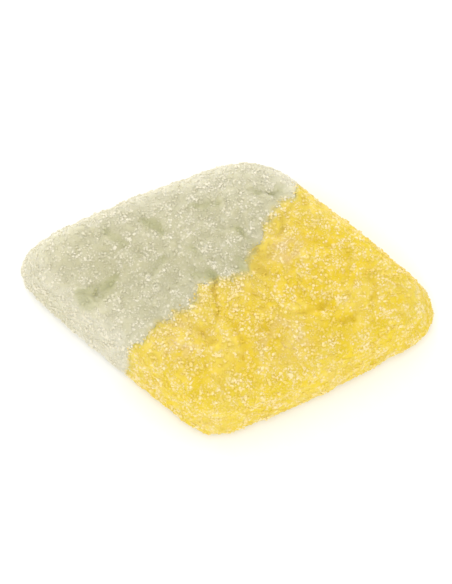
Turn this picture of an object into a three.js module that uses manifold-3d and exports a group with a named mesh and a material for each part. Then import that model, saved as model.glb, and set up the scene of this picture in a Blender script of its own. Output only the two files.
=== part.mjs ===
import * as THREE from 'three';
import { mergeVertices } from 'three/addons/utils/BufferGeometryUtils.js';
import Module from 'manifold-3d';

// A sugar-sanded foam sweet: a thick rounded diamond cast in a starch mould from two masses,
// a pale one and a yellow one, poured side by side so that they meet along a wavy seam.
// Millimetres, +X along the long diagonal, +Z up, lying on its flat back.

// ---------------------------------------------------------------- driving dimensions

const HEIGHT = 6.4; // flat back to the middle of the face
const CROWN = 0.3; // how much lower the face is where its shoulder begins
const WALL_LEAN = 0.7; // how far the wall leans in towards the face
const SHOULDER_RADIUS = 2.3; // between the wall and the face
const FOOT_RADIUS = 0.9; // between the wall and the flat back
const REACH = 12.6; // from the middle of the plan square to a side

// Where the sides would meet if they were straight, how far from there each corner starts
// to round, and how far the side after it, going anticlockwise, swells out.
const CORNERS = [
  { x: 23.25, y: 0.85, cut: 7.8, swell: 0.1 },
  { x: 1.1, y: 15.0, cut: 5.0, swell: 0.3 },
  { x: -23.2, y: 0.5, cut: 7.4, swell: 0.1 },
  { x: 0.45, y: -14.7, cut: 3.7, swell: 0.4 },
];

// The seam follows a straight line through (SEAM_X, 0) and strays from it in waves.
const SEAM_X = -1.27;
const SEAM_ANGLE = 0.928; // of that line from +X, in radians
const SEAM_HALF_LENGTH = 22;
const SEAM_STEPS = 72;
const SEAM_GAP = 0.32; // between the two masses
const SEAM_WAVES = [
  { height: 0.85, length: 22.8, start: 0.196 },
  { height: 0.4, length: 14, start: -0.067 },
  { height: 0.44, length: 7.58, start: -0.141 },
  { height: 0.29, length: 5.03, start: -0.088 },
];

const FACE_RINGS = 18; // from the middle of the face to its shoulder
const SIDE_RINGS = 9; // from the shoulder round to the back
const SECTORS = 8;
const AROUND = SECTORS * FACE_RINGS;

// Broad forms of the face: height above it, or depth where negative, and half widths.
const SWELLS = [
  { x: -12.5, y: 2.6, height: 0.45, long: 5.0, wide: 2.6, turn: 0.5 },
  { x: -5.0, y: 3.4, height: 0.4, long: 3.4, wide: 2.2, turn: -0.6 },
  { x: 1.2, y: 7.6, height: 0.4, long: 2.8, wide: 2.0, turn: 0.2 },
  { x: 9.6, y: 3.0, height: 0.45, long: 4.2, wide: 2.0, turn: -0.5 },
  { x: 4.6, y: -3.0, height: 0.5, long: 4.0, wide: 2.4, turn: 0.4 },
  { x: -3.4, y: -7.4, height: 0.4, long: 3.0, wide: 2.0, turn: -0.4 },
  { x: 12.6, y: -1.6, height: 0.35, long: 3.6, wide: 1.8, turn: 0.1 },
  { x: -12.0, y: -3.2, height: -0.5, long: 1.9, wide: 1.0, turn: 0.6 },
  { x: -12.2, y: 2.8, height: -0.3, long: 2.4, wide: 0.9, turn: 0.3 },
  { x: -2.9, y: 0.5, height: -0.4, long: 1.6, wide: 0.9, turn: -0.4 },
  { x: 3.7, y: 9.4, height: -0.35, long: 1.5, wide: 1.1, turn: 1.0 },
  { x: 2.8, y: 3.6, height: -0.4, long: 1.9, wide: 1.3, turn: 1.2 },
  { x: -4.8, y: -6.4, height: -0.35, long: 1.6, wide: 1.3, turn: 0.2 },
  { x: 8.4, y: -0.6, height: -0.35, long: 2.4, wide: 0.9, turn: -0.2 },
];
const RELIEF_FADE = [0.5, 0.9]; // shares of the height between which the face's forms set in

// Short creases, scattered over the face.
const CREASE_SEED = 41;
const CREASE_COUNT = 22;
const CREASE_SPACING = 3.3;
const CREASE_LENGTH = [1.2, 3.4]; // half lengths
const CREASE_WIDTH = [0.35, 0.6];
const CREASE_DEPTH = [0.22, 0.5];
const CREASE_BEND = 0.09;
const CREASE_FADE = [0.5, 1.2]; // shares of the half length between which it runs out
const CREASE_FIELD = 0.72; // share of the plan that they keep to

const GRAIN_DEPTH = 0.13; // roughness of the sugared skin
const GRAIN_SIZE = 0.8;

const CRYSTAL_SEED = 7;
const CRYSTAL_COUNT = 210; // the largest sugar crystals; finer ones are the skin's roughness
const CRYSTAL_SIZE = [0.45, 0.7];
const CRYSTAL_FLATNESS = [0.7, 1];
const CRYSTAL_SPACING = 1.6;
const CRYSTAL_SEAM_ROOM = 0.8;
const CRYSTAL_ON_FACE = 0.6; // the share of them on the face, the rest are on the side
const CRYSTAL_RUN = 0.85; // how far down the side they go
const CRYSTAL_LOWEST = 1.0;
const CRYSTAL_SUNK = 0.1; // how far a crystal's middle lies under the skin

const CELL_MIX = [127.1, 311.7, 74.7]; // turn the place of a cell into its fixed value
const CELL_SPREAD = 43758.5453;
const MERGE_DISTANCE = 1e-5;

const PALE = { name: 'pale_half', color: 0xd0ca9f, roughness: 0.7, metalness: 0 };
const YELLOW = { name: 'yellow_half', color: 0xf0d25a, roughness: 0.7, metalness: 0 };

const wasm = await Module();
wasm.setup();

// ---------------------------------------------------------------- helpers

/** Even random numbers from 0 to 1, the same on every run. */
function randomFrom(seed) {
  let state = seed;
  return () => {
    state = (state + 0x6d2b79f5) | 0;
    let mixed = Math.imul(state ^ (state >>> 15), 1 | state);
    mixed = (mixed + Math.imul(mixed ^ (mixed >>> 7), 61 | mixed)) ^ mixed;
    return ((mixed ^ (mixed >>> 14)) >>> 0) / 4294967296;
  };
}

function between(random, [low, high]) {
  return low + (high - low) * random();
}

/** A fixed value from -1 to 1 for each cell of a grid in space. */
function cellValue(x, y, z) {
  const wave = Math.sin(x * CELL_MIX[0] + y * CELL_MIX[1] + z * CELL_MIX[2]) * CELL_SPREAD;
  return 2 * (wave - Math.floor(wave)) - 1;
}

/** Smooth bumps about one unit across, from -1 to 1. */
function bumps(x, y, z) {
  const corner = [x, y, z].map(Math.floor);
  const ease = [x, y, z].map((v, i) => THREE.MathUtils.smoothstep(v - corner[i], 0, 1));
  let sum = 0;
  for (let bit = 0; bit < 8; bit += 1) {
    const step = [bit & 1, (bit >> 1) & 1, bit >> 2];
    const weight = step.reduce((w, on, i) => w * (on ? ease[i] : 1 - ease[i]), 1);
    sum += weight * cellValue(corner[0] + step[0], corner[1] + step[1], corner[2] + step[2]);
  }
  return sum;
}

function toManifold(geometry) {
  const bare = geometry.clone();
  bare.deleteAttribute('normal');
  bare.deleteAttribute('uv');
  const merged = mergeVertices(bare, MERGE_DISTANCE);
  const mesh = new wasm.Mesh({
    numProp: 3,
    vertProperties: new Float32Array(merged.attributes.position.array),
    triVerts: new Uint32Array(merged.index.array),
  });
  return new wasm.Manifold(mesh);
}

function toGeometry(manifold) {
  const mesh = manifold.getMesh();
  const geometry = new THREE.BufferGeometry();
  geometry.setAttribute('position', new THREE.BufferAttribute(mesh.vertProperties, 3));
  geometry.setIndex(new THREE.BufferAttribute(mesh.triVerts, 1));
  return geometry;
}

// ---------------------------------------------------------------- plan and section

/** The plan at its widest: swollen sides joined by rounded corners, anticlockwise. */
function makePlan() {
  const corners = CORNERS.map(({ x, y }) => new THREE.Vector2(x, y));
  const along = (i) => corners[(i + 1) % 4].clone().sub(corners[i]).normalize();
  const leave = (i) => corners[i].clone().addScaledVector(along(i), CORNERS[i].cut);
  const arrive = (i) => corners[i].clone().addScaledVector(along((i + 3) % 4), -CORNERS[i].cut);
  const plan = new THREE.Path();
  plan.moveTo(...arrive(0));
  for (let i = 0; i < 4; i += 1) {
    const start = leave(i);
    const end = arrive((i + 1) % 4);
    const outward = new THREE.Vector2(along(i).y, -along(i).x);
    const bulge = start.clone().lerp(end, 0.5).addScaledVector(outward, 2 * CORNERS[i].swell);
    plan.quadraticCurveTo(...corners[i], ...start);
    plan.quadraticCurveTo(...bulge, ...end);
  }
  return plan;
}

/** The side's section from the shoulder to the back: x is how far inside the plan it lies. */
function makeSide() {
  const side = new THREE.Path();
  const shoulderTop = HEIGHT - CROWN;
  const wallTop = shoulderTop - SHOULDER_RADIUS;
  const slant = WALL_LEAN / (wallTop - FOOT_RADIUS);
  side.moveTo(WALL_LEAN + SHOULDER_RADIUS, shoulderTop);
  side.quadraticCurveTo(WALL_LEAN + slant * SHOULDER_RADIUS, shoulderTop, WALL_LEAN, wallTop);
  side.lineTo(0, FOOT_RADIUS);
  side.quadraticCurveTo(0, 0, FOOT_RADIUS, 0);
  return side;
}

const plan = makePlan();
const side = makeSide();

/** A point of the skin without its relief, and the direction it faces. */
function sidePoint(turn, run) {
  const edge = plan.getPointAt(turn % 1);
  const along = plan.getTangentAt(turn % 1);
  const { x: inset, y: z } = side.getPointAt(run);
  const slope = side.getTangentAt(run);
  const share = 1 - inset / REACH;
  const normal = new THREE.Vector3(-along.y * slope.y, along.x * slope.y, -slope.x).normalize();
  return { point: new THREE.Vector3(edge.x * share, edge.y * share, z), normal };
}

/** The same on the face, where share runs from 0 in its middle to 1 at the shoulder. */
function facePoint(turn, share) {
  const rim = sidePoint(turn, 0).point;
  const z = HEIGHT - CROWN * share * share;
  return {
    point: new THREE.Vector3(rim.x * share, rim.y * share, z),
    normal: new THREE.Vector3(0, 0, 1),
  };
}

// ---------------------------------------------------------------- relief

function swellAt(point, { x, y, height, long, wide, turn }) {
  const dx = point.x - x;
  const dy = point.y - y;
  const along = (dx * Math.cos(turn) + dy * Math.sin(turn)) / long;
  const across = (dy * Math.cos(turn) - dx * Math.sin(turn)) / wide;
  return height * Math.exp(-along * along - across * across);
}

/** Creases at seeded places inside the face, none near another. */
function makeCreases() {
  const random = randomFrom(CREASE_SEED);
  const creases = [];
  while (creases.length < CREASE_COUNT) {
    const edge = plan.getPointAt(random());
    const share = CREASE_FIELD * Math.sqrt(random());
    const crease = {
      x: edge.x * share,
      y: edge.y * share,
      turn: Math.PI * random(),
      long: between(random, CREASE_LENGTH),
      wide: between(random, CREASE_WIDTH),
      depth: between(random, CREASE_DEPTH),
      bend: CREASE_BEND * (2 * random() - 1),
    };
    const free = creases.every((c) => Math.hypot(c.x - crease.x, c.y - crease.y) > CREASE_SPACING);
    if (free) {
      creases.push(crease);
    }
  }
  return creases;
}

const creases = makeCreases();

function creaseAt(point, { x, y, turn, long, wide, depth, bend }) {
  const dx = point.x - x;
  const dy = point.y - y;
  const along = dx * Math.cos(turn) + dy * Math.sin(turn);
  const across = dy * Math.cos(turn) - dx * Math.sin(turn) - bend * along * along;
  const ends = 1 - THREE.MathUtils.smoothstep(Math.abs(along) / long, ...CREASE_FADE);
  return -depth * ends * Math.exp(-((across / wide) ** 2));
}

/** How far the skin stands out at a point. The forms of the face fade down the wall. */
function relief(point) {
  const fade = THREE.MathUtils.smoothstep(point.z / HEIGHT, ...RELIEF_FADE);
  const forms = SWELLS.reduce((sum, swell) => sum + swellAt(point, swell), 0);
  const folds = creases.reduce((sum, crease) => sum + creaseAt(point, crease), 0);
  const scaled = point.clone().divideScalar(GRAIN_SIZE);
  const grain = GRAIN_DEPTH * bumps(scaled.x, scaled.y, scaled.z);
  const flatBack = THREE.MathUtils.smoothstep(point.z, 0, FOOT_RADIUS);
  return fade * (forms + folds) + flatBack * grain;
}

function withRelief({ point, normal }) {
  return point.clone().addScaledVector(normal, relief(point));
}

// ---------------------------------------------------------------- body

/** Rings from the middle of the face, each with SECTORS more points, then even ones. */
function makeRings() {
  const rings = [[withRelief(facePoint(0, 0))]];
  for (let ring = 1; ring <= FACE_RINGS; ring += 1) {
    const count = SECTORS * ring;
    const turns = Array.from({ length: count }, (_, k) => k / count);
    rings.push(turns.map((turn) => withRelief(facePoint(turn, ring / FACE_RINGS))));
  }
  for (let ring = 1; ring <= SIDE_RINGS; ring += 1) {
    const turns = Array.from({ length: AROUND }, (_, k) => k / AROUND);
    rings.push(turns.map((turn) => withRelief(sidePoint(turn, ring / SIDE_RINGS))));
  }
  return rings;
}

/** Triangles between two rings, where the outer has SECTORS points more or as many. */
function stripBetween(inner, outer, grows) {
  const triangles = [];
  const sectors = grows ? SECTORS : 1;
  const outerRun = outer.length / sectors;
  const innerRun = grows ? outerRun - 1 : outerRun;
  for (let sector = 0; sector < sectors; sector += 1) {
    for (let k = 0; k < outerRun; k += 1) {
      const o0 = sector * outerRun + k;
      const o1 = (o0 + 1) % outer.length;
      const i0 = (sector * innerRun + k) % inner.length;
      const i1 = (sector * innerRun + k + 1) % inner.length;
      triangles.push(outer.start + o0, outer.start + o1, inner.start + i0);
      if (k < innerRun) {
        triangles.push(outer.start + o1, inner.start + i1, inner.start + i0);
      }
    }
  }
  return triangles;
}

function makeBody() {
  const rings = makeRings();
  rings.push([new THREE.Vector3(0, 0, 0)]);
  const positions = rings.flat().flatMap((point) => [point.x, point.y, point.z]);
  let start = 0;
  const spans = rings.map((ring) => {
    const span = { start, length: ring.length };
    start += ring.length;
    return span;
  });
  const index = [];
  for (let ring = 1; ring < spans.length - 1; ring += 1) {
    index.push(...stripBetween(spans[ring - 1], spans[ring], ring <= FACE_RINGS));
  }
  const foot = spans.at(-2);
  const middle = spans.at(-1).start;
  for (let k = 0; k < AROUND; k += 1) {
    index.push(foot.start + k, middle, foot.start + ((k + 1) % AROUND));
  }
  const geometry = new THREE.BufferGeometry();
  geometry.setAttribute('position', new THREE.Float32BufferAttribute(positions, 3));
  geometry.setIndex(index);
  return toManifold(geometry);
}

// ---------------------------------------------------------------- seam

function seamOffset(distance) {
  const wave = ({ height, length, start }) =>
    height * Math.sin(2 * Math.PI * (distance / length + start));
  return SEAM_WAVES.reduce((sum, each) => sum + wave(each), 0);
}

/** A point of the seam in plan, moved sideways by `shift`, towards the yellow side. */
function seamPoint(distance, shift) {
  const along = new THREE.Vector2(Math.cos(SEAM_ANGLE), Math.sin(SEAM_ANGLE));
  const across = new THREE.Vector2(along.y, -along.x);
  const step = 0.01;
  const rise = (seamOffset(distance + step) - seamOffset(distance - step)) / (2 * step);
  const normal = across.clone().addScaledVector(along, -rise).normalize();
  return new THREE.Vector2(SEAM_X, 0)
    .addScaledVector(along, distance)
    .addScaledVector(across, seamOffset(distance))
    .addScaledVector(normal, shift);
}

/** How far a point lies on the yellow side of the seam; less than 0 on the pale side. */
function seamSide(point) {
  const dx = point.x - SEAM_X;
  const distance = dx * Math.cos(SEAM_ANGLE) + point.y * Math.sin(SEAM_ANGLE);
  const offset = dx * Math.sin(SEAM_ANGLE) - point.y * Math.cos(SEAM_ANGLE);
  return offset - seamOffset(distance);
}

/** All the space on one side of the seam, up to half the gap from it. */
function seamBlock(sign) {
  const curve = Array.from({ length: SEAM_STEPS + 1 }, (_, k) => {
    const distance = SEAM_HALF_LENGTH * ((2 * k) / SEAM_STEPS - 1);
    return seamPoint(distance, (sign * SEAM_GAP) / 2);
  });
  const far = [SEAM_HALF_LENGTH, -SEAM_HALF_LENGTH].map((distance) =>
    seamPoint(distance, sign * 2 * SEAM_HALF_LENGTH),
  );
  const shape = new THREE.Shape([...curve, ...far]);
  const block = new THREE.ExtrudeGeometry(shape, { depth: 2 * HEIGHT, bevelEnabled: false });
  block.translate(0, 0, -HEIGHT / 2);
  return toManifold(block);
}

// ---------------------------------------------------------------- sugar crystals

/** Seeded places for crystals on face and wall, apart from each other and the seam. */
function crystalPlaces(random) {
  const places = [];
  while (places.length < CRYSTAL_COUNT) {
    const turn = random();
    const onFace = random() < CRYSTAL_ON_FACE;
    const spot = random();
    const bare = onFace ? facePoint(turn, Math.sqrt(spot)) : sidePoint(turn, CRYSTAL_RUN * spot);
    const point = withRelief(bare);
    const clear = Math.abs(seamSide(point)) > CRYSTAL_SEAM_ROOM && point.z > CRYSTAL_LOWEST;
    if (clear && places.every((place) => place.point.distanceTo(point) > CRYSTAL_SPACING)) {
      places.push({ point, normal: bare.normal });
    }
  }
  return places;
}

/** One blocky crystal, half sunk in the skin at a random tilt. */
function makeCrystal(random, { point, normal }) {
  const size = between(random, CRYSTAL_SIZE);
  const flat = between(random, CRYSTAL_FLATNESS);
  const crystal = new THREE.BoxGeometry(size, size * flat, size * flat);
  const tilt = new THREE.Euler(...[0, 0, 0].map(() => 2 * Math.PI * random()));
  crystal.applyQuaternion(new THREE.Quaternion().setFromEuler(tilt));
  const middle = point.clone().addScaledVector(normal, -CRYSTAL_SUNK);
  crystal.translate(middle.x, middle.y, middle.z);
  return toManifold(crystal);
}

function makeSugaredBody() {
  const random = randomFrom(CRYSTAL_SEED);
  const crystals = crystalPlaces(random).map((place) => makeCrystal(random, place));
  return crystals.reduce((body, crystal) => body.add(crystal), makeBody());
}

// ---------------------------------------------------------------- the sweet

function makeMass(body, sign, { name, ...finish }) {
  const mass = body.intersect(seamBlock(sign));
  const mesh = new THREE.Mesh(toGeometry(mass), new THREE.MeshStandardMaterial(finish));
  mesh.name = name;
  return mesh;
}

/** Both masses, moved so that the middle of their box stands at the origin. */
function makeSweet() {
  const body = makeSugaredBody();
  const sweet = new THREE.Group();
  sweet.add(makeMass(body, -1, PALE), makeMass(body, 1, YELLOW));
  const box = new THREE.Box3().setFromObject(sweet);
  const middle = box.getCenter(new THREE.Vector3());
  sweet.children.forEach((mesh) => mesh.geometry.translate(-middle.x, -middle.y, -box.min.z));
  return sweet;
}

export default makeSweet();
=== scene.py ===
# %% [markdown]
# # A sugar-sanded foam sweet
#
# The sweet is a rounded diamond, about 40 mm long and 6 mm thick, of light foam candy. A pale
# mass and a yellow mass are poured side by side in one mould, so they meet along a wavy seam,
# and the turned-out sweet is rolled in sugar while it is still tacky.
#
# There are two things to model: the candy itself, a soft translucent body with low swells,
# dents and creases, and the sugar, many thousand small blocky crystals. One bumpy surface
# with a speckled material would be quicker, but its outline would stay smooth and it would
# fall apart in a close view. So the candy is a dense mesh and every crystal is real.

# %% Load the imported frame and keep its meshes
import math

import bpy
import numpy as np
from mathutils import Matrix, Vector


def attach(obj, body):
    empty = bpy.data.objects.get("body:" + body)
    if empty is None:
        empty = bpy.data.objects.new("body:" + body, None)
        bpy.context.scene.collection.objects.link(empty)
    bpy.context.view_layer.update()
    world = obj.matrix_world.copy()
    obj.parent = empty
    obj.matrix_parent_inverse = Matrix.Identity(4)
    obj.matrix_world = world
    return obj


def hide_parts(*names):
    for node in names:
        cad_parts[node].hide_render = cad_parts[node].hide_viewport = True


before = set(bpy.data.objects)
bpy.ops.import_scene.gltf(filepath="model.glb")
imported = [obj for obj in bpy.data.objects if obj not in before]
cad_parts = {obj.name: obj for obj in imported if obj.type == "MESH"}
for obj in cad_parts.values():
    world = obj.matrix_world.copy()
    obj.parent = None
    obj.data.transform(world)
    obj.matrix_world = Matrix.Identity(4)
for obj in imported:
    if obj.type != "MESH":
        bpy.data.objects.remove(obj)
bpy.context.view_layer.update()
MM = 0.001

# %% [markdown]
# ## The form, in millimetres
#
# The plan is a diamond whose four corners are rounded by different amounts, as cast foam
# always is, and whose sides swell a little. The section goes from the face over a soft
# shoulder, down a wall that leans in, and round a small foot to the flat back.
#
# The outline could be a list of many points. Four corners, each with a cut and a swell, give
# the same line and are easier to change. These are the same few sizes that the solids were
# made with, so the dressed sweet keeps their form.

# %% Sizes of plan and section
HEIGHT = 6.4
CROWN = 0.3  # how far the face falls from its middle to the shoulder
WALL_LEAN = 0.7  # how far the wall leans in on its way up
SHOULDER_RADIUS = 2.3
FOOT_RADIUS = 0.9
REACH = 12.6  # distance from the middle at which an inset is true to size
CURVE_POINTS = 200
WALL_POINTS = 100
CORNERS = (  # x, y, how far before it rounding starts, swell of the side that follows
    (23.25, 0.85, 7.8, 0.1),
    (1.1, 15.0, 5.0, 0.3),
    (-23.2, 0.5, 7.4, 0.1),
    (0.45, -14.7, 3.7, 0.4),
)


def quadratic(start, middle, end):
    """Points of a curve that leaves start towards middle and arrives at end from there."""
    t = np.linspace(0, 1, CURVE_POINTS, endpoint=False)[:, None]
    return (1 - t) ** 2 * start + 2 * t * (1 - t) * middle + t**2 * end


def plan_points():
    """The outline at its widest: swollen sides joined by rounded corners, anticlockwise."""
    corners = np.array([corner[:2] for corner in CORNERS])
    ahead = np.roll(corners, -1, axis=0) - corners
    ahead /= np.linalg.norm(ahead, axis=1)[:, None]
    curves = []
    for i, (_, _, cut, swell) in enumerate(CORNERS):
        follow = (i + 1) % len(CORNERS)
        arrive = corners[i] - ahead[i - 1] * cut
        leave = corners[i] + ahead[i] * cut
        end = corners[follow] - ahead[i] * CORNERS[follow][2]
        outward = np.array((ahead[i][1], -ahead[i][0]))
        bulge = (leave + end) / 2 + outward * 2 * swell  # the curve goes half as far out as this
        curves += [quadratic(arrive, corners[i], leave), quadratic(leave, bulge, end)]
    points = np.concatenate(curves)
    return np.concatenate([points, points[:1]])


def side_points():
    """Section of the side: how far inside the plan, and how high."""
    top = HEIGHT - CROWN
    wall_top = top - SHOULDER_RADIUS
    slant = WALL_LEAN / (wall_top - FOOT_RADIUS)
    shoulder_start = np.array((WALL_LEAN + SHOULDER_RADIUS, top))
    shoulder_middle = np.array((WALL_LEAN + slant * SHOULDER_RADIUS, top))
    wall_start = np.array((WALL_LEAN, wall_top))
    foot_start = np.array((0, FOOT_RADIUS))
    foot_end = np.array((FOOT_RADIUS, 0))
    shoulder = quadratic(shoulder_start, shoulder_middle, wall_start)
    wall = np.linspace(wall_start, foot_start, WALL_POINTS, endpoint=False)
    foot = quadratic(foot_start, np.zeros(2), foot_end)
    return np.concatenate([shoulder, wall, foot, [foot_end]])


class Track:
    """A line of points that is read at even shares of its length."""

    def __init__(self, points):
        steps = np.linalg.norm(np.diff(points, axis=0), axis=1)
        self.points = points
        self.share = np.concatenate([[0], np.cumsum(steps)]) / steps.sum()
        self.length = steps.sum()

    def at(self, share):
        """Points at shares of the length."""
        return np.stack([np.interp(share, self.share, axis) for axis in self.points.T], axis=-1)

    def heading(self, share, step=1e-3):
        """The way that the line goes there, one unit long."""
        ahead = self.at(np.minimum(share + step, 1)) - self.at(np.maximum(share - step, 0))
        return ahead / np.linalg.norm(ahead, axis=-1, keepdims=True)


plan, side = Track(plan_points()), Track(side_points())
print(f"round the plan {plan.length:.1f} mm, down the side {side.length:.1f} mm")

# %% [markdown]
# ## The seam
#
# The two masses flow against each other in the mould, so their border is a lazy wave and not
# a straight cut. A curve drawn by hand would do, but a straight line plus sine waves is also a
# formula, which later tells on which side of the seam a crystal lies. Four long waves give its
# course, as in the solids, and three short ones its ragged edge.

# %% Seam: a line with waves
SEAM_X = -1.27  # where its straight line crosses the long diagonal
SEAM_ANGLE = 0.928  # how far it is turned from that diagonal, in radians
SEAM_HALF_LENGTH = 22
SEAM_POINTS = 441
SEAM_WAVES = (  # height, length, start as a share of the wave
    (0.85, 22.8, 0.196),
    (0.4, 14, -0.067),
    (0.44, 7.58, -0.141),
    (0.29, 5.03, -0.088),
    (0.17, 2.9, 0.3),
    (0.12, 1.7, 0.6),
    (0.08, 0.93, 0.1),
)
along_seam = np.array((math.cos(SEAM_ANGLE), math.sin(SEAM_ANGLE)))
across_seam = np.array((along_seam[1], -along_seam[0]))  # towards the yellow side


def seam_offset(distance):
    """How far the waves carry the seam to the yellow side, at a distance along it."""
    return sum(h * np.sin(2 * np.pi * (distance / length + start)) for h, length, start in SEAM_WAVES)


def yellow_side(points):
    """How far points lie on the yellow side of the seam, less than 0 on the pale side."""
    flat = points[:, :2] - (SEAM_X, 0)
    return flat @ across_seam - seam_offset(flat @ along_seam)


print(len(SEAM_WAVES), "waves in the seam")

# %% [markdown]
# ## Relief of the face
#
# Foam candy shrinks and dents a little as it dries. Broad swells and hollows carry most of the
# light and shade of the face, and short creases give its crumpled look. They could be sculpted
# by hand, but as functions of the place they give a coarse and a fine mesh the same forms. The
# creases are placed by a seeded rule that keeps them apart, which looks natural and comes out
# the same every time.

# %% Broad swells and hollows
SWELLS = (  # x, y, height, half length, half width, turn
    (-12.5, 2.6, 0.45, 5.0, 2.6, 0.5),
    (-5.0, 3.4, 0.4, 3.4, 2.2, -0.6),
    (1.2, 7.6, 0.4, 2.8, 2.0, 0.2),
    (9.6, 3.0, 0.45, 4.2, 2.0, -0.5),
    (4.6, -3.0, 0.5, 4.0, 2.4, 0.4),
    (-3.4, -7.4, 0.4, 3.0, 2.0, -0.4),
    (12.6, -1.6, 0.35, 3.6, 1.8, 0.1),
    (-12.0, -3.2, -0.5, 1.9, 1.0, 0.6),
    (-12.2, 2.8, -0.3, 2.4, 0.9, 0.3),
    (-2.9, 0.5, -0.4, 1.6, 0.9, -0.4),
    (3.7, 9.4, -0.35, 1.5, 1.1, 1.0),
    (2.8, 3.6, -0.4, 1.9, 1.3, 1.2),
    (-4.8, -6.4, -0.35, 1.6, 1.3, 0.2),
    (8.4, -0.6, -0.35, 2.4, 0.9, -0.2),
)


def turned(points, x, y, turn):
    """Distances from (x, y) along and across a direction."""
    dx, dy = points[:, 0] - x, points[:, 1] - y
    cos, sin = math.cos(turn), math.sin(turn)
    return dx * cos + dy * sin, dy * cos - dx * sin


def swells_at(points):
    """How far the broad forms lift the face at each point."""
    total = np.zeros(len(points))
    for x, y, height, long, wide, turn in SWELLS:
        along, across = turned(points, x, y, turn)
        total += height * np.exp(-((along / long) ** 2) - (across / wide) ** 2)
    return total


print(len(SWELLS), "swells and hollows")

# %% Creases at seeded places
CREASE_SEED = 41
CREASE_COUNT = 22
CREASE_SPACING = 3.3  # least distance between the middles of two
CREASE_LENGTH = (1.2, 3.4)  # half lengths, and then half widths and depths, from and to
CREASE_WIDTH = (0.35, 0.6)
CREASE_DEPTH = (0.22, 0.5)
CREASE_BEND = 0.09  # most that one bends aside, 1 mm from its middle
CREASE_FADE = (0.5, 1.2)  # shares of the half length between which its ends fade out
CREASE_FIELD = 0.72  # share of the plan that they lie in
BITS_32 = 0xFFFFFFFF
SEED_STEP = 0x6D2B79F5


def seeded(seed):
    """Even random numbers from 0 to 1 by 32-bit mixing, one at a time."""
    state = seed
    while True:
        state = (state + SEED_STEP) & BITS_32
        mixed = ((state ^ state >> 15) * (1 | state)) & BITS_32
        mixed = (mixed + ((mixed ^ mixed >> 7) * (61 | mixed) & BITS_32) & BITS_32) ^ mixed
        yield ((mixed ^ mixed >> 14) & BITS_32) / (BITS_32 + 1)


def make_creases():
    """Place, turn, half length, half width, depth and bend of each crease."""
    draw = seeded(CREASE_SEED)

    def between(low, high):
        return low + (high - low) * next(draw)

    creases = []
    while len(creases) < CREASE_COUNT:
        edge = plan.at(next(draw))
        x, y = edge * CREASE_FIELD * math.sqrt(next(draw))
        turn = math.pi * next(draw)
        sizes = [between(*CREASE_LENGTH), between(*CREASE_WIDTH), between(*CREASE_DEPTH)]
        bend = CREASE_BEND * (2 * next(draw) - 1)
        if all(math.dist((x, y), other[:2]) > CREASE_SPACING for other in creases):
            creases.append((x, y, turn, *sizes, bend))
    return creases


def smooth_step(value, low, high):
    """0 up to low, 1 from high, and a soft rise between."""
    t = np.clip((value - low) / (high - low), 0, 1)
    return t * t * (3 - 2 * t)


def creases_at(points):
    """How far the creases lift the face at each point, always 0 or less."""
    total = np.zeros(len(points))
    for x, y, turn, long, wide, depth, bend in creases:
        along, across = turned(points, x, y, turn)
        across -= bend * along**2
        ends = 1 - smooth_step(abs(along) / long, *CREASE_FADE)
        total -= depth * ends * np.exp(-((across / wide) ** 2))
    return total


creases = make_creases()
print(len(creases), "creases")

# %% Small bumps of the skin
SHUFFLE = (127.1, 311.7, 74.7)  # mixes the three numbers of a grid corner
SHUFFLE_GAIN = 43758.5453  # makes what is left after its whole part random


def bumps(points, size, seed=0.0):
    """Smooth random bumps of a given size, from -1 to 1."""
    scaled = points / size + seed
    corner = np.floor(scaled)
    ease = smooth_step(scaled - corner, 0, 1)
    total = np.zeros(len(points))
    for bit in range(8):
        step = np.array((bit & 1, bit >> 1 & 1, bit >> 2))
        wave = np.sin((corner + step) @ SHUFFLE) * SHUFFLE_GAIN
        weight = np.prod(np.where(step, ease, 1 - ease), axis=1)
        total += weight * (2 * (wave - np.floor(wave)) - 1)
    return total


print("bumps at three places:", bumps(np.eye(3), 0.42).round(2))

# %% Forms of the face, crumpled
RELIEF_FADE = (0.5, 0.9)  # shares of the height between which the face's forms set in
CRUMPLE = ((1.4, 0.5), (0.6, 0.18))  # size of the crumpling, and how far it shifts the forms
CRUMPLE_SEEDS = (5, 9)  # for shifts along x and along y
OPEN = 0.6  # share of a crease's depth that the fine sugar leaves open


def on_face(points):
    """1 on the face, falling to 0 down the side."""
    return smooth_step(points[:, 2] / HEIGHT, *RELIEF_FADE)


def crumpled(points):
    """The same points shifted a little to and fro, so that no form has a clean edge."""
    moved = points.copy()
    for size, shift in CRUMPLE:
        for axis, seed in enumerate(CRUMPLE_SEEDS):
            moved[:, axis] += shift * bumps(points, size, seed)
    return moved


# %% [markdown]
# ## The candy mass
#
# The body is built as rings: from the middle of the face outwards, each ring has eight points
# more than the last, so the triangles stay even, and from the shoulder down every ring has the
# same number. Remeshing a coarse solid would blur the creases; a ring mesh puts the points
# where the form needs them. The candy lies a little inside the outer form, because the sugar
# fills the rest.

# %% Rings of the skin
FACE_RINGS = 84
SIDE_RINGS = 38
SECTORS = 8  # points that each ring of the face has more than the last
COAT = 0.14  # how far the candy lies inside the outer form
GRAIN = ((1.7, 0.1), (0.8, 0.1), (0.42, 0.06))  # size and height of its small bumps
FLAT_GRAIN = 0.3  # share of that height on the back


def skin_points(turn, run, share):
    """Points of the outer form and their normals: run goes down the side, share over the face."""
    edge, heading = plan.at(turn), plan.heading(turn)
    section, slope = side.at(run), side.heading(run)
    inside = (1 - section[:, :1] / REACH) * share[:, None]
    height = np.where(share < 1, HEIGHT - CROWN * share**2, section[:, 1])
    points = np.column_stack([edge * inside, height])
    normals = np.column_stack([-heading[:, 1] * slope[:, 1], heading[:, 0] * slope[:, 1], -slope[:, 0]])
    normals[share < 1] = (0, 0, 1)
    return points, normals / np.linalg.norm(normals, axis=1)[:, None]


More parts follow.
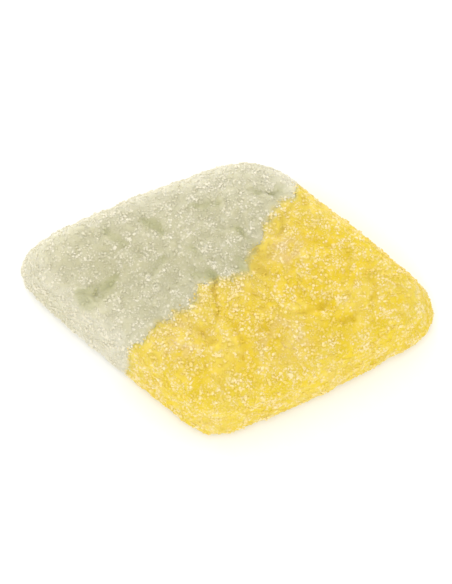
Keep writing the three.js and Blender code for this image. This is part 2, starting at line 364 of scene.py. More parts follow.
def sculpted(points, normals):
    """The skin's points, lifted by all its forms."""
    moved = crumpled(points)
    forms = on_face(points) * (swells_at(moved) + OPEN * creases_at(moved))
    foot = smooth_step(points[:, 2], 0, FOOT_RADIUS)
    grain = sum(height * bumps(points, size) for size, height in GRAIN)
    lift = forms + (FLAT_GRAIN + (1 - FLAT_GRAIN) * foot) * grain - COAT
    return points + normals * lift[:, None]


def ring_layout():
    """For each point of all the rings: its share of the way round, and its place on the section."""
    counts = [1] + [SECTORS * ring for ring in range(1, FACE_RINGS + 1)]
    counts += [SECTORS * FACE_RINGS] * SIDE_RINGS
    turns = np.concatenate([np.arange(n) / n for n in counts])
    ring = np.repeat(np.arange(len(counts)), counts)
    share = np.minimum(ring / FACE_RINGS, 1)
    run = np.maximum(ring - FACE_RINGS, 0) / SIDE_RINGS
    return counts, turns, run, share


def strip(inner, outer, inner_count, outer_count):
    """Triangles between two rings that start at the points inner and outer."""
    sectors = SECTORS if outer_count > inner_count else 1
    outer_run = outer_count // sectors
    inner_run = outer_run - (sectors > 1)
    faces = []
    for k in range(outer_count):
        sector, step = divmod(k, outer_run)
        at = sector * inner_run + step
        after = outer + (k + 1) % outer_count
        faces.append((outer + k, after, inner + at % inner_count))
        if step < inner_run:
            faces.append((after, inner + (at + 1) % inner_count, inner + at % inner_count))
    return faces


def make_skin():
    """Points and triangles of the whole closed skin."""
    counts, turns, run, share = ring_layout()
    points = sculpted(*skin_points(turns, run, share))
    starts = np.concatenate([[0], np.cumsum(counts)])
    faces = []
    for ring in range(1, len(counts)):
        faces += strip(starts[ring - 1], starts[ring], counts[ring - 1], counts[ring])
    rim, middle = starts[-2], len(points)
    points = np.concatenate([points, [(0, 0, points[rim:, 2].mean())]])
    faces += [(rim + k, middle, rim + (k + 1) % counts[-1]) for k in range(counts[-1])]
    return points, np.array(faces)


skin, skin_faces = make_skin()
print(f"skin of {len(skin_faces)} triangles, {np.ptp(skin, axis=0).round(1)} mm")

# %% [markdown]
# ## Cutting the body at the seam
#
# Each mass is the body cut by a block whose edge follows the seam. Sorting the triangles to
# either side would leave a jagged, open edge. A Boolean cuts through them and keeps both halves
# closed, and since both blocks share the same edge, the halves meet with no slit.

# %% Two masses from one skin
def link(name, data):
    """A new object in the scene, of a mesh, a lamp or a camera."""
    made = bpy.data.objects.new(name, data)
    bpy.context.collection.objects.link(made)
    return made


def mesh_object(name, points_mm, faces):
    """An object of these points and faces, its points turned into metres."""
    mesh = bpy.data.meshes.new(name)
    mesh.from_pydata(points_mm * MM, [], faces)
    return link(name, mesh)


def seam_block(sign):
    """All the space on one side of the seam."""
    distance = np.linspace(-SEAM_HALF_LENGTH, SEAM_HALF_LENGTH, SEAM_POINTS)[:, None]
    edge = (SEAM_X, 0) + distance * along_seam + seam_offset(distance) * across_seam
    far = edge[[-1, 0]] + sign * 2 * SEAM_HALF_LENGTH * across_seam
    outline = np.concatenate([edge, far])[::sign]
    n = len(outline)
    low = np.column_stack([outline, np.full(n, -HEIGHT)])
    high = np.column_stack([outline, np.full(n, 2 * HEIGHT)])
    walls = [(k, (k + 1) % n, n + (k + 1) % n, n + k) for k in range(n)]
    caps = [tuple(range(n))[::-1], tuple(range(n, 2 * n))]
    return mesh_object("block", np.concatenate([low, high]), walls + caps)


SHARP = math.radians(60)  # edges sharper than this, as at the seam, aren't smoothed


def make_mass(name, sign):
    """The part of the body on one side of the seam, as a mesh of its own."""
    mass, block = mesh_object(name, skin, skin_faces), seam_block(sign)
    cut = mass.modifiers.new("seam", "BOOLEAN")
    cut.operation, cut.solver, cut.object = "INTERSECT", "MANIFOLD", block
    graph = bpy.context.evaluated_depsgraph_get()
    mesh = bpy.data.meshes.new_from_object(mass.evaluated_get(graph))
    mass.modifiers.clear()
    mass.data = mesh
    bpy.data.objects.remove(block)
    mesh.materials.clear()
    mesh.shade_smooth()
    mesh.set_sharp_from_angle(angle=SHARP)
    return mass


candy = {"pale": make_mass("pale_mass", -1), "yellow": make_mass("yellow_mass", 1)}
for mass in candy.values():
    print(mass.name, len(mass.data.polygons), "faces")

# %% [markdown]
# ## Marks for the colours
#
# The colours follow the form: hollows are deeper and darker, partly the barer candy there and
# partly painted shade, the rim is lighter, partly thicker sugar and partly painted light on the lit
# edge, a few damp patches have dried to a beige crust, and the dyes bleed into each other at the
# seam. A shader can't know where a hollow is, and masks painted by hand would be needed twice, on
# candy and on sugar. So the four masks are worked out here, once for each point, and written on
# the meshes as attributes that the node groups read. Candy and crystals get them from the same
# functions.

# %% Masks: hollow, rim, crust and bleed
HOLLOW_DEPTH = (0.04, 0.45)  # mm below the face where the deeper colour, partly painted shade, starts and is full
HOLLOW_BREAK = 0.6  # how strongly small bumps break up its edge
HOLLOW_BREAK_SIZE = 0.6
HOLLOW_SEED = 21
RIM_REACH = 1.7  # how far inside the outline the rim's lighter colour, partly thicker sugar and partly painted light, has fallen to a third
SIDE_RIM = 0.5  # share of that colour that the side has
CRUSTS = (  # x, y and size of the patches of crust
    (5.1, 3.5, 1.5),
    (6.1, -5.1, 2.1),
    (-3.5, -6.4, 1.8),
)
CRUST_BREAK = (-0.6, 0.5)  # heights of small bumps between which crust sets in
CRUST_BREAK_SIZE = 0.7
CRUST_SEED = 3
BLEED = 0.5  # share of the other candy's colour right at the seam
BLEED_REACH = 0.32
TRACE = 0.2  # share of the pale colour that reaches farther into the yellow
TRACE_REACH = 3.0
plan_turn = np.arctan2(plan.points[:, 1], plan.points[:, 0])
plan_radius = np.hypot(plan.points[:, 0], plan.points[:, 1])


def hollow_at(points):
    """1 deep in a crease or a dent, 0 on the open face."""
    moved = crumpled(points)
    depth = -on_face(points) * (creases_at(moved) + np.minimum(swells_at(moved), 0))
    ragged = 1 + HOLLOW_BREAK * bumps(points, HOLLOW_BREAK_SIZE, HOLLOW_SEED)
    return smooth_step(depth * ragged, *HOLLOW_DEPTH)


def inside_edge(points):
    """How far points lie inside the outline, along the line from the middle."""
    turn = np.arctan2(points[:, 1], points[:, 0])
    edge = np.interp(turn, plan_turn, plan_radius, period=2 * np.pi)
    return np.maximum(edge - np.hypot(points[:, 0], points[:, 1]), 0)


def rim_at(points):
    """1 at the edge of the face, less inwards and down the side."""
    return np.exp(-inside_edge(points) / RIM_REACH) * (SIDE_RIM + (1 - SIDE_RIM) * on_face(points))


def crust_at(points):
    """1 in the middle of a patch, broken up by bumps."""
    total = np.zeros(len(points))
    broken = smooth_step(bumps(points, CRUST_BREAK_SIZE, CRUST_SEED), *CRUST_BREAK)
    for x, y, size in CRUSTS:
        away = np.hypot(points[:, 0] - x, points[:, 1] - y) / size
        total += np.exp(-(away**2)) * broken
    return np.minimum(total, 1)


def bleed_at(points):
    """Share of the other candy's colour: most at the seam, a trace farther into the yellow."""
    into_yellow = yellow_side(points)
    near = BLEED * np.exp(-((into_yellow / BLEED_REACH) ** 2))
    far = TRACE * np.exp(-((into_yellow / TRACE_REACH) ** 2)) * smooth_step(into_yellow, 0, BLEED_REACH)
    return near + far


MASKS = {"hollow": hollow_at, "rim": rim_at, "crust": crust_at, "bleed": bleed_at}


def write_mask(mesh, name, values):
    """Writes one value for each point of a mesh, under a name."""
    mesh.attributes.new(name, "FLOAT", "POINT").data.foreach_set("value", values.astype(np.float32))


def mark(mesh, points):
    """Writes all the masks on a mesh."""
    for name, mask_at in MASKS.items():
        write_mask(mesh, name, mask_at(points))


for mass in candy.values():
    places = np.empty(len(mass.data.vertices) * 3, np.float32)
    mass.data.vertices.foreach_get("co", places)
    mark(mass.data, places.reshape(-1, 3).astype(float) / MM)
    print(f"{mass.name}: masks {', '.join(MASKS)} on {len(mass.data.vertices)} points")

# %% [markdown]
# ## Sugar crystals
#
# Granulated sugar is blocky: clear crystals about 0.1 to 0.4 mm across, with flat faces that
# glint. A particle system could scatter one crystal many times, but joined meshes keep every
# crystal as real geometry. All the crystals of a grade are made at once as arrays of numbers:
# the corners of a prism, stretched, tapered, chipped, turned and moved, which takes a second or
# two for many thousands.
#
# The coat has two grades, since coarse crystals alone would leave bare gaps. They are scattered
# over the uncut skin by area, thinned by a soft noise so that the coat is uneven, and given to
# the mass on whose side of the seam they lie.

# %% Where crystals stick
corners_of = skin[skin_faces]
face_cross = np.cross(corners_of[:, 1] - corners_of[:, 0], corners_of[:, 2] - corners_of[:, 0])
face_area = np.linalg.norm(face_cross, axis=1) / 2
face_normal = face_cross / (2 * face_area[:, None])
print(f"surface to sugar: {face_area.sum():.0f} square mm")

PATCH_SEED = 11
THIN_THICK = (0.2, 0.7)  # patch noise, from 0 to 1, where the coat is barest and where it is full
RIM_EXTRA = 0.5  # what the rim adds to that noise
LEAST_COVER = 0.5  # share of the crystals that the barest patches keep
BARE = 0.5  # share that a hollow lacks


def scatter(random, per_mm2, patch_size):
    """Places on the skin and their normals, fewer where the patch noise is low and in hollows."""
    count = int(per_mm2 * face_area.sum())
    face = random.choice(len(face_area), count, p=face_area / face_area.sum())
    weights = random.dirichlet((1, 1, 1), count)
    places = (corners_of[face] * weights[:, :, None]).sum(axis=1)
    patches = 0.5 + 0.5 * bumps(places, patch_size, PATCH_SEED)
    thick = patches + RIM_EXTRA * rim_at(places) + crust_at(places)
    cover = LEAST_COVER + (1 - LEAST_COVER) * smooth_step(thick, *THIN_THICK)
    keep = random.random(count) < cover * (1 - BARE * hollow_at(places))
    return places[keep], face_normal[face[keep]]


# %% Building crystals as arrays
SQUASH = (0.65, 0.95)  # how wide and how high a crystal is, as shares of its length
TAPER = (0.5, 0.8)  # its top is that share as wide as its foot
LEAN = 0.2  # how far crystals lean away from lying flat
CHIP = 0.08  # how far corners stray, as a share of its size
SINK = (-0.38, -0.03)  # how far its middle stands out of the skin, as a share of its size
TIP_RISE = (-0.1, 0.4)  # heights over the skin, as shares of its size, of foot and tip, between which its painted light rises


def prism(sides):
    """Corners and four-sided faces of a straight prism, one unit across."""
    angle = 2 * np.pi * (np.arange(sides) + 0.5) / sides
    ring = np.column_stack([np.cos(angle), np.sin(angle)]) / (2 * np.cos(np.pi / sides))
    corners = np.concatenate([np.column_stack([ring, np.full(sides, z)]) for z in (-0.5, 0.5)])
    walls = [(k, (k + 1) % sides, sides + (k + 1) % sides, sides + k) for k in range(sides)]
    base = [(0, k + 2, k + 1, k) for k in range(1, sides - 1, 2)]
    top = [(sides, sides + k, sides + k + 1, sides + k + 2) for k in range(1, sides - 1, 2)]
    return corners, np.array(walls + base + top)


def lying_turns(random, normals):
    """Rotation matrices that lay crystals on the skin, turned at random and leaning a little."""
    height = normals + LEAN * random.normal(size=normals.shape)
    length = np.cross(height, random.normal(size=normals.shape))
    width = np.cross(height, length)
    axes = np.stack([length, width, height], axis=2)
    return axes / np.linalg.norm(axes, axis=1, keepdims=True)


def crystals(random, corners, places, normals, size):
    """Corners of a crystal at each place, and how far each corner is from the foot to the tip."""
    count = len(places)
    wide = random.uniform(*size, count)[:, None]
    shape = wide * np.column_stack([np.ones(count), random.uniform(*SQUASH, (count, 2))])
    block = corners * shape[:, None]
    block[:, len(corners) // 2:, :2] *= random.uniform(*TAPER, (count, 1, 1))
    block += random.uniform(-CHIP, CHIP, block.shape) * wide[:, None]
    block = np.einsum("nij,nkj->nki", lying_turns(random, normals), block)
    block += (normals * wide * random.uniform(*SINK, (count, 1)))[:, None]
    tip = smooth_step(np.einsum("nkj,nj->nk", block, normals) / wide, *TIP_RISE)
    block += places[:, None]
    block[:, :, 2] -= np.minimum(block[:, :, 2].min(axis=1), 0)[:, None]
    return block, tip


def crystal_piece(name, blocks, faces, places, painted_lightness):
    """One mesh of all the crystals, marked like the candy and with a painted lightness for each corner.
    """
    count, corners, _ = blocks.shape
    face_count = count * len(faces)
    face_corners = faces.shape[1]
    loops = (np.arange(count)[:, None, None] * corners + faces).reshape(-1)
    mesh = bpy.data.meshes.new(name)
    mesh.vertices.add(count * corners)
    mesh.vertices.foreach_set("co", (blocks * MM).reshape(-1).astype(np.float32))
    mesh.loops.add(len(loops))
    mesh.loops.foreach_set("vertex_index", loops.astype(np.int32))
    mesh.polygons.add(face_count)
    mesh.polygons.foreach_set("loop_start", np.arange(face_count, dtype=np.int32) * face_corners)
    mesh.update(calc_edges=True)
    mesh.shade_flat()
    mark(mesh, np.repeat(places, corners, axis=0))
    write_mask(mesh, "tone", painted_lightness.reshape(-1))
    print(f"{name}: {count} crystals, {face_count * (face_corners - 2)} triangles")
    return link(name, mesh)


# %% Two grades of sugar on each mass
STRAY = 0.3  # how far crystals of one side stray over the seam, in mm
# name: seed, sides, crystals to a square mm, size and patch size in mm, rarity of light ones, painted
# sparkle
GRADES = {
    "coarse": (3, 6, 7.2, (0.22, 0.38), 2.6, 0.8),
    "fine": (5, 4, 18.0, (0.1, 0.2), 1.7, 1.2),
}
sugar = {"pale": [], "yellow": []}
for grade, (seed, sides, per_mm2, size, patch_size, sparkle_rarity) in GRADES.items():
    random = np.random.default_rng(seed)
    corners, faces = prism(sides)
    places, normals = scatter(random, per_mm2, patch_size)
    blocks, tips = crystals(random, corners, places, normals, size)
    # painted light rising from each crystal's foot to its tip, high on a random few as painted sparkle
    painted_lightness = tips * random.random((len(places), 1)) ** sparkle_rarity
    yellow = yellow_side(places) + STRAY * random.normal(size=len(places)) > 0
    for colour, chosen in (("pale", ~yellow), ("yellow", yellow)):
        name = f"{colour}_{grade}_sugar"
        sugar[colour].append(crystal_piece(name, blocks[chosen], faces, places[chosen], painted_lightness[chosen]))

# %% [markdown]
# ## Node helpers
#
# Every material is a small tree of nodes. A helper that adds a node, sets its plain inputs and
# links the rest keeps each tree short enough to read.

# %% Adding nodes
def linear(red, green, blue):
    """A colour as picked on a screen, 0 to 255, by the sRGB curve for Blender's linear sockets."""
    values = [v / 255 for v in (red, green, blue)]
    return (*(v / 12.92 if v < 0.04045 else ((v + 0.055) / 1.055) ** 2.4 for v in values), 1)


def feed(tree, socket, value):
    """Links another node's output to a socket, or sets a plain number or colour."""
    if isinstance(value, bpy.types.NodeSocket):
        tree.links.new(value, socket)
    else:
        socket.default_value = value


def add(tree, kind, settings=(), **inputs):
    """A node with its inputs fed by name, spaces as underscores, or by number as _0, _1."""
    node = tree.nodes.new("ShaderNode" + kind)
    for name, value in dict(settings).items():
        setattr(node, name, value)
    for name, value in inputs.items():
        key = int(name[1:]) if name[1:].isdigit() else name.replace("_", " ")
        feed(tree, node.inputs[key], value)
    return node


def mix(tree, factor, first, second):
    """A colour between two, by a factor from 0 to 1."""
    # a Mix node has sockets for every kind of value: factor 0, and colours 6, 7 and output 2
    node = add(tree, "Mix", {"data_type": "RGBA"}, _0=factor, _6=first, _7=second)
    return node.outputs[2]


def math_node(tree, operation, first, second):
    """A sum or product, kept from 0 to 1."""
    node = add(tree, "Math", {"operation": operation, "use_clamp": True}, _0=first, _1=second)
    return node.outputs[0]


def ramp(tree, value, low, high, to_low=0.0, to_high=1.0):
    """A smooth step from to_low to to_high while the value goes from low to high."""
    limits = {"From_Min": low, "From_Max": high, "To_Min": to_low, "To_Max": to_high}
    return add(tree, "MapRange", {"interpolation_type": "SMOOTHSTEP"}, Value=value, **limits).outputs[0]


def noise(tree, scale, detail, roughness=0.5):
    """Cloudy noise, with about scale clouds to a metre."""
    where = add(tree, "TexCoord").outputs["Object"]
    settings = {"Scale": scale, "Detail": detail, "Roughness": roughness}
    return add(tree, "TexNoise", Vector=where, **settings).outputs[0]


def mask(tree, name):
    """One of the masks that are written on the meshes."""
    return add(tree, "Attribute", {"attribute_name": name}).outputs["Fac"]


def new_group(name, inputs, outputs):
    """A node group with named sockets; inputs map a name to its default."""
    group = bpy.data.node_groups.new(name, "ShaderNodeTree")
    for label, default in inputs.items():
        kind = "NodeSocketFloat" if isinstance(default, float) else "NodeSocketColor"
        group.interface.new_socket(label, in_out="INPUT", socket_type=kind).default_value = default
    for label, kind in outputs.items():
        group.interface.new_socket(label, in_out="OUTPUT", socket_type=kind)
    return group, group.nodes.new("NodeGroupInput").outputs, group.nodes.new("NodeGroupOutput").inputs


# %% [markdown]
# ## Colour of the candy under everything
#
# Candy and sugar share one thing: the colour of the candy at that place. It turns deeper in
# the hollows, partly as painted shade, into the neighbour's near the seam, lighter at the rim,
# partly as painted light, and beige in the crusts.
# As a group it is built once and placed in all four materials, each with its own colours. A
# second group tells how thick the finest sugar lies, in clumps of about a millimetre.

# %% Node group: candy colour at a place
SOME_COLOUR = (0.8, 0.8, 0.5, 1.0)  # a socket's default, which every material replaces
place_colour, given, out = new_group(
    "place_colour",
    {label: SOME_COLOUR for label in ("Candy", "Deep", "Neighbour", "Rim", "Crust")},
    {"Color": "NodeSocketColor"},
)
# painted shade: the deeper, darker colour in creases and dents, over the barer candy there
shaded = mix(place_colour, mask(place_colour, "hollow"), given["Candy"], given["Deep"])
bled = mix(place_colour, mask(place_colour, "bleed"), shaded, given["Neighbour"])
# lighter at the rim: partly thicker sugar, partly painted light on the lit edge
rim_sugared_and_lit = mix(place_colour, mask(place_colour, "rim"), bled, given["Rim"])
crusted = mix(place_colour, mask(place_colour, "crust"), rim_sugared_and_lit, given["Crust"])
place_colour.links.new(crusted, out["Color"])
print(f"{place_colour.name}: {len(place_colour.nodes)} nodes")

# %% Node group: how much sugar covers a place
CLUMP_SCALE = 900.0  # clumps to a metre
CLUMP_EDGE = (0.41, 0.63)  # noise where a clump starts and where it is full
CLUMP_COVER = (0.06, 1.0)  # how much sugar lies between clumps and in them
HOLLOW_COVER = 0.25  # share of it that the bottom of a hollow keeps, partly less sugar there and partly painted shade
sugar_cover, given, out = new_group("sugar_cover", {"Clumps": 0.5}, {"Cover": "NodeSocketFloat"})
clumps = noise(sugar_cover, CLUMP_SCALE, detail=4.0, roughness=0.6)
clumps = ramp(sugar_cover, clumps, *CLUMP_EDGE, *CLUMP_COVER)
clumps = math_node(sugar_cover, "MULTIPLY", clumps, given["Clumps"])
# less sugar in hollows, which also paints shade there: less dust on the candy, less cream on crystals
clear = ramp(sugar_cover, mask(sugar_cover, "hollow"), 0.0, 1.0, 1.0, HOLLOW_COVER)
sugar_cover.links.new(math_node(sugar_cover, "MULTIPLY", clumps, clear), out["Cover"])
print(f"{sugar_cover.name}: {len(sugar_cover.nodes)} nodes")

# %% [markdown]
# ## Candy finish
#
# Foam candy is matt and lets light in a little way, so it glows in thin places and its hollows
# look deeper in colour, not grey; part of their deeper colour is painted shade from the colour
# group. Subsurface scattering gives the glow. The tone group adds what is uneven: cloudy
# mottling from the mixing, a pale dust of sugar too fine to model, and a fine grain that drives
# the bump.

# %% Node group: uneven candy tone
CLOUD_SCALE = 260.0  # like the two below, how many to a metre
DUST_SCALE = 2600.0
SKIN_SCALE = 4200.0
CLOUD_EDGE = (0.42, 0.68)  # noise where a cloud starts and where it is full
DUST_EDGE = (0.15, 0.5)  # how far from its middle a grain of dust starts to fade and ends
DUST_COVER = (1.0, 0.15)  # how well dust covers there
candy_tone, given, out = new_group(
    "candy_tone",
    {"Color": SOME_COLOUR, "Cloud": SOME_COLOUR, "Dust": SOME_COLOUR, "Cloudiness": 0.5, "Cover": 0.5},
    {"Color": "NodeSocketColor", "Height": "NodeSocketFloat"},
)
clouds = ramp(candy_tone, noise(candy_tone, CLOUD_SCALE, detail=3.0, roughness=0.6), *CLOUD_EDGE)
clouds = math_node(candy_tone, "MULTIPLY", clouds, given["Cloudiness"])
cloudy = mix(candy_tone, clouds, given["Color"], given["Cloud"])
where = add(candy_tone, "TexCoord").outputs["Object"]
cells = add(candy_tone, "TexVoronoi", Vector=where, Scale=DUST_SCALE)
grains = ramp(candy_tone, cells.outputs["Distance"], *DUST_EDGE, *DUST_COVER)
dusty = math_node(candy_tone, "MULTIPLY", given["Cover"], grains)
candy_tone.links.new(mix(candy_tone, dusty, cloudy, given["Dust"]), out["Color"])
candy_tone.links.new(noise(candy_tone, SKIN_SCALE, detail=4.0, roughness=0.7), out["Height"])
print(f"{candy_tone.name}: {len(candy_tone.nodes)} nodes")

# %% Colours of the two candies
# deep is the barer candy in hollows darkened as painted shade, rim is thicker sugar plus painted light
# on the edge, and crystal is the cream painted as light on crystal tips
PALE = {
    "candy": linear(191, 186, 150),
    "deep": linear(180, 178, 132),
    "cloud": linear(200, 195, 162),
    "dust": linear(222, 216, 194),
    "rim": linear(243, 238, 223),
    "crust": linear(208, 198, 172),
    "crystal": linear(231, 225, 204),
    "glow": (1.0, 0.95, 0.7),
    "clumps": 0.85,
    "least": 0.1,
    "most": 0.48,
}
YELLOW = {
    "candy": linear(225, 195, 20),
    "deep": linear(216, 184, 6),
    "cloud": linear(229, 204, 82),
    "dust": linear(238, 219, 160),
    "rim": linear(232, 205, 30),
    "crust": linear(219, 190, 134),
    "crystal": linear(240, 223, 172),
    "glow": (1.0, 0.9, 0.4),
    "clumps": 0.9,
    "least": 0.12,
    "most": 0.54,
}
CANDIES = (("pale", PALE, YELLOW), ("yellow", YELLOW, PALE))  # name, its own colours, the other's
print(f"{len(PALE)} colours and amounts for each candy")

# %% Candy materials
CANDY_ROUGHNESS = 0.7
CLOUDINESS = 0.85
SKIN_BUMP = 0.00007  # height of the skin's fine grain, in metres
SKIN_BUMP_STRENGTH = 0.6
GLOW = 0.8  # share of the light that wanders in the candy
GLOW_DEPTH = 0.0007  # how far it wanders, in metres


def start_material(name):
    """A new material, its node tree and the inputs of its shader."""
    material = bpy.data.materials.new(name)
    material.use_nodes = True
    return material, material.node_tree, material.node_tree.nodes["Principled BSDF"].inputs


def base_and_cover(tree, own, other):
    """The two shared groups, fed with the colours of this candy and of its neighbour."""
    colours = {socket: own[socket.lower()] for socket in ("Candy", "Deep", "Rim", "Crust")}
    base = add(tree, "Group", {"node_tree": place_colour}, Neighbour=other["candy"], **colours)
    cover = add(tree, "Group", {"node_tree": sugar_cover}, Clumps=own["clumps"])
    return base.outputs["Color"], cover.outputs["Cover"]


def candy_material(name, own, other):
    """Matt candy with clouds, dust and a soft glow."""
    material, tree, shader = start_material(name)
    base, cover = base_and_cover(tree, own, other)
    extras = {"Cloud": own["cloud"], "Dust": own["dust"], "Cloudiness": CLOUDINESS, "Cover": cover}
    tone = add(tree, "Group", {"node_tree": candy_tone}, Color=base, **extras).outputs
    grain = {"Strength": SKIN_BUMP_STRENGTH, "Distance": SKIN_BUMP, "Height": tone["Height"]}
    feed(tree, shader["Base Color"], tone["Color"])
    feed(tree, shader["Normal"], add(tree, "Bump", **grain).outputs[0])
    shader["Roughness"].default_value = CANDY_ROUGHNESS
    shader["Subsurface Weight"].default_value = GLOW
    shader["Subsurface Radius"].default_value = own["glow"]
    shader["Subsurface Scale"].default_value = GLOW_DEPTH
    return material


for colour, own, other in CANDIES:
    candy[colour].data.materials.append(candy_material(f"{colour}_candy", own, other))
    print(candy[colour].name, "is", candy[colour].active_material.name)

# %% [markdown]
# ## Sugar finish
#
# A crystal is clear, so it shows the candy's colour and flashes white where a face catches the
# light. Full glass on tens of thousands of crystals renders slowly and noisily, and mostly
# refracts its neighbours into grey. Subsurface light would be lost through the part of each
# crystal that is sunk in the candy, which looks grey too. So both are painted in the colour: each
# crystal goes from near the candy's colour at its foot, painted see-through that also covers the
# shade of its lower faces, towards cream at its tip, painted light. A random few are creamier, as
# painted sparkle. Crystals are creamier where the finest sugar lies in clumps, and less creamy in
# hollows, as painted shade.

# %% Node group: tone of each crystal
CRYSTAL_COVER = 0.65  # how much of the cover a crystal takes on
FULL_COVER = 0.8  # cover at which crystals are lightest
THIN_TO_FULL = (0.65, 1.1)  # how light they are where sugar is thin, and at that cover
SHADED_HOLLOW_LIGHT = 0.15  # painted shade: share of its lightness that one in a hollow keeps
SCRATCH_SCALE = 9000.0
SCRATCH_EDGE = (0.3, 0.7)
SUGAR_ROUGHNESS = (0.55, 0.85)
sugar_tone, given, out = new_group(
    "sugar_tone",
    {"Color": SOME_COLOUR, "Crystal": SOME_COLOUR, "Least": 0.1, "Most": 0.7, "Cover": 0.3},
    {"Color": "NodeSocketColor", "Roughness": "NodeSocketFloat", "Height": "NodeSocketFloat"},
)
limits = {"To_Min": given["Least"], "To_Max": given["Most"]}
# a crystal's painted lightness: painted see-through at its foot, painted light at its tip, painted
# sparkle on a random few
light = add(sugar_tone, "MapRange", Value=mask(sugar_tone, "tone"), **limits).outputs[0]
by_cover = ramp(sugar_tone, given["Cover"], 0.0, FULL_COVER, *THIN_TO_FULL)
light = math_node(sugar_tone, "MULTIPLY", light, by_cover)
covered = math_node(sugar_tone, "MULTIPLY", given["Cover"], CRYSTAL_COVER)
light = math_node(sugar_tone, "ADD", light, covered)
# painted shade: a crystal in a hollow keeps little of its lightness
clear = ramp(sugar_tone, mask(sugar_tone, "hollow"), 0.0, 1.0, 1.0, SHADED_HOLLOW_LIGHT)
light = math_node(sugar_tone, "MULTIPLY", light, clear)
sugar_tone.links.new(mix(sugar_tone, light, given["Color"], given["Crystal"]), out["Color"])
scratches = noise(sugar_tone, SCRATCH_SCALE, detail=2.0)
uneven = ramp(sugar_tone, scratches, *SCRATCH_EDGE, *SUGAR_ROUGHNESS)
sugar_tone.links.new(uneven, out["Roughness"])
sugar_tone.links.new(scratches, out["Height"])
print(f"{sugar_tone.name}: {len(sugar_tone.nodes)} nodes")

# %% Sugar materials
SUGAR_IOR = 1.54
SCRATCH_BUMP = 0.00003  # height of the scratches, in metres
SCRATCH_BUMP_STRENGTH = 0.12


def sugar_material(name, own, other):
    """Crystals that take the candy's colour, each with its own share of cream as painted light."""
    material, tree, shader = start_material(name)
    base, cover = base_and_cover(tree, own, other)
    extras = {"Crystal": own["crystal"], "Least": own["least"], "Most": own["most"], "Cover": cover}
    tone = add(tree, "Group", {"node_tree": sugar_tone}, Color=base, **extras).outputs
    scratched = {"Strength": SCRATCH_BUMP_STRENGTH, "Distance": SCRATCH_BUMP, "Height": tone["Height"]}
    feed(tree, shader["Base Color"], tone["Color"])
    feed(tree, shader["Roughness"], tone["Roughness"])
    feed(tree, shader["Normal"], add(tree, "Bump", **scratched).outputs[0])
    shader["IOR"].default_value = SUGAR_IOR
    return material


for colour, own, other in CANDIES:
    finish = sugar_material(f"{colour}_sugar", own, other)
    for piece in sugar[colour]:
        piece.data.materials.append(finish)
        print(piece.name, "is", finish.name)

# %% [markdown]
# ## Tie the pieces to the frame
#
# The sweet has one body, so everything rides on it, and each candy mass stands for the solid
# of the same colour.

# %% Bodies and nodes
for colour, mass in candy.items():
    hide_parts(f"{colour}_half")
    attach(mass, "root")
    for piece in sugar[colour]:
        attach(piece, "root")
    print(f"{colour}_half is {mass.name}, with {len(sugar[colour])} pieces of sugar")

# %% [markdown]
# ## Floor, light and camera
#
# The sweet lies on white paper in a white studio. A strong even light from all round keeps the
# contrast low, as a light tent does. A picture of a studio could light it too, but plain lamps
# are easier to steer. A broad one from behind on the left gives the relief its shape, one from
# the front keeps the near wall bright, and four small ones are too weak to shade anything but
# make crystals glint.

# %% Floor
FLOOR_RADIUS = 1.5
PAPER = (linear(247, 247, 245), linear(250, 250, 248))
PAPER_ROUGHNESS = 0.9
FIBRE_SCALE = 900.0
bpy.ops.mesh.primitive_circle_add(vertices=96, radius=FLOOR_RADIUS, fill_type="NGON")
floor = bpy.context.object
floor.name = "floor"
paper, tree, shader = start_material("paper")
feed(tree, shader["Base Color"], mix(tree, noise(tree, FIBRE_SCALE, detail=3.0), *PAPER))
shader["Roughness"].default_value = PAPER_ROUGHNESS
floor.data.materials.append(paper)
print(f"{floor.name} of white paper, {2 * FLOOR_RADIUS:.0f} m across")

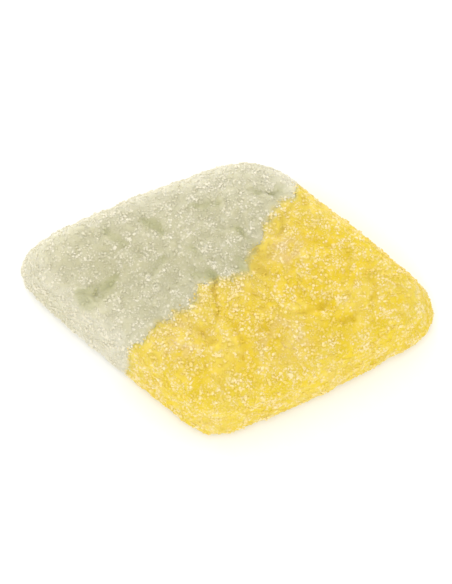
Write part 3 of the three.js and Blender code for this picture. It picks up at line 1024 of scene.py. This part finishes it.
# %% Light
SKY_STRENGTH = 1.06
world = bpy.data.worlds.new("studio")
world.use_nodes = True
sky = world.node_tree.nodes["Background"].inputs
sky["Color"].default_value = (1, 1, 1, 1)
sky["Strength"].default_value = SKY_STRENGTH
bpy.context.scene.world = world
bpy.context.scene.view_settings.view_transform = "Standard"
LAMPS = {  # name: azimuth and elevation in degrees, distance and width in metres, power in watts
    "back_left": (-145, 22, 0.7, 0.6, 2.1),
    "front": (12, 28, 0.8, 0.6, 1.5),
    "glint_1": (-160, 60, 0.6, 0.07, 0.06),
    "glint_2": (-60, 65, 0.6, 0.07, 0.06),
    "glint_3": (60, 55, 0.6, 0.07, 0.06),
    "glint_4": (150, 50, 0.6, 0.07, 0.06),
}


def direction(azimuth, elevation):
    """The way towards a lamp or camera: azimuth 0 is the near side, and 90 the right."""
    a, e = math.radians(azimuth), math.radians(elevation)
    return Vector((math.sin(a) * math.cos(e), -math.cos(a) * math.cos(e), math.sin(e)))


for name, (azimuth, elevation, distance, width, power) in LAMPS.items():
    lamp = bpy.data.lights.new(name, "AREA")
    lamp.size, lamp.energy = width, power
    away = direction(azimuth, elevation)
    holder = link(name, lamp)
    holder.location = away * distance
    holder.rotation_euler = (-away).to_track_quat("-Z", "Y").to_euler()
print(len(LAMPS), "lamps and a white sky")

# %% Camera
PICTURE_LONG = 584  # longer side of the picture, in pixels
PX_PER_MM = 10.39  # pixels in it to a millimetre of the sweet
VIEW_AZIMUTH = 7.9
VIEW_ELEVATION = 72.0
VIEW_DISTANCE = 0.35  # in metres
VIEW_RANGE = (0.01, 10)  # nearest and farthest that the camera sees, in metres
SENSOR = 36.0  # width of the picture behind the lens, in millimetres
ORIGIN_PX = (0.66, 8.32)  # how far right of and below the middle of the picture the origin shows

lens = bpy.data.cameras.new("camera")
lens.sensor_width = SENSOR
lens.lens = SENSOR * VIEW_DISTANCE / (PICTURE_LONG / PX_PER_MM * MM)
lens.clip_start, lens.clip_end = VIEW_RANGE
back = direction(VIEW_AZIMUTH, VIEW_ELEVATION)
right = Vector((0, 0, 1)).cross(back).normalized()
up = back.cross(right)
aim = (up * ORIGIN_PX[1] - right * ORIGIN_PX[0]) / PX_PER_MM * MM
camera = link("camera", lens)
camera.location = aim + back * VIEW_DISTANCE
camera.rotation_mode = "QUATERNION"
camera.rotation_quaternion = (-back).to_track_quat("-Z", "Y")
bpy.context.scene.camera = camera
print(f"camera {VIEW_DISTANCE} m away, lens {lens.lens:.0f} mm")
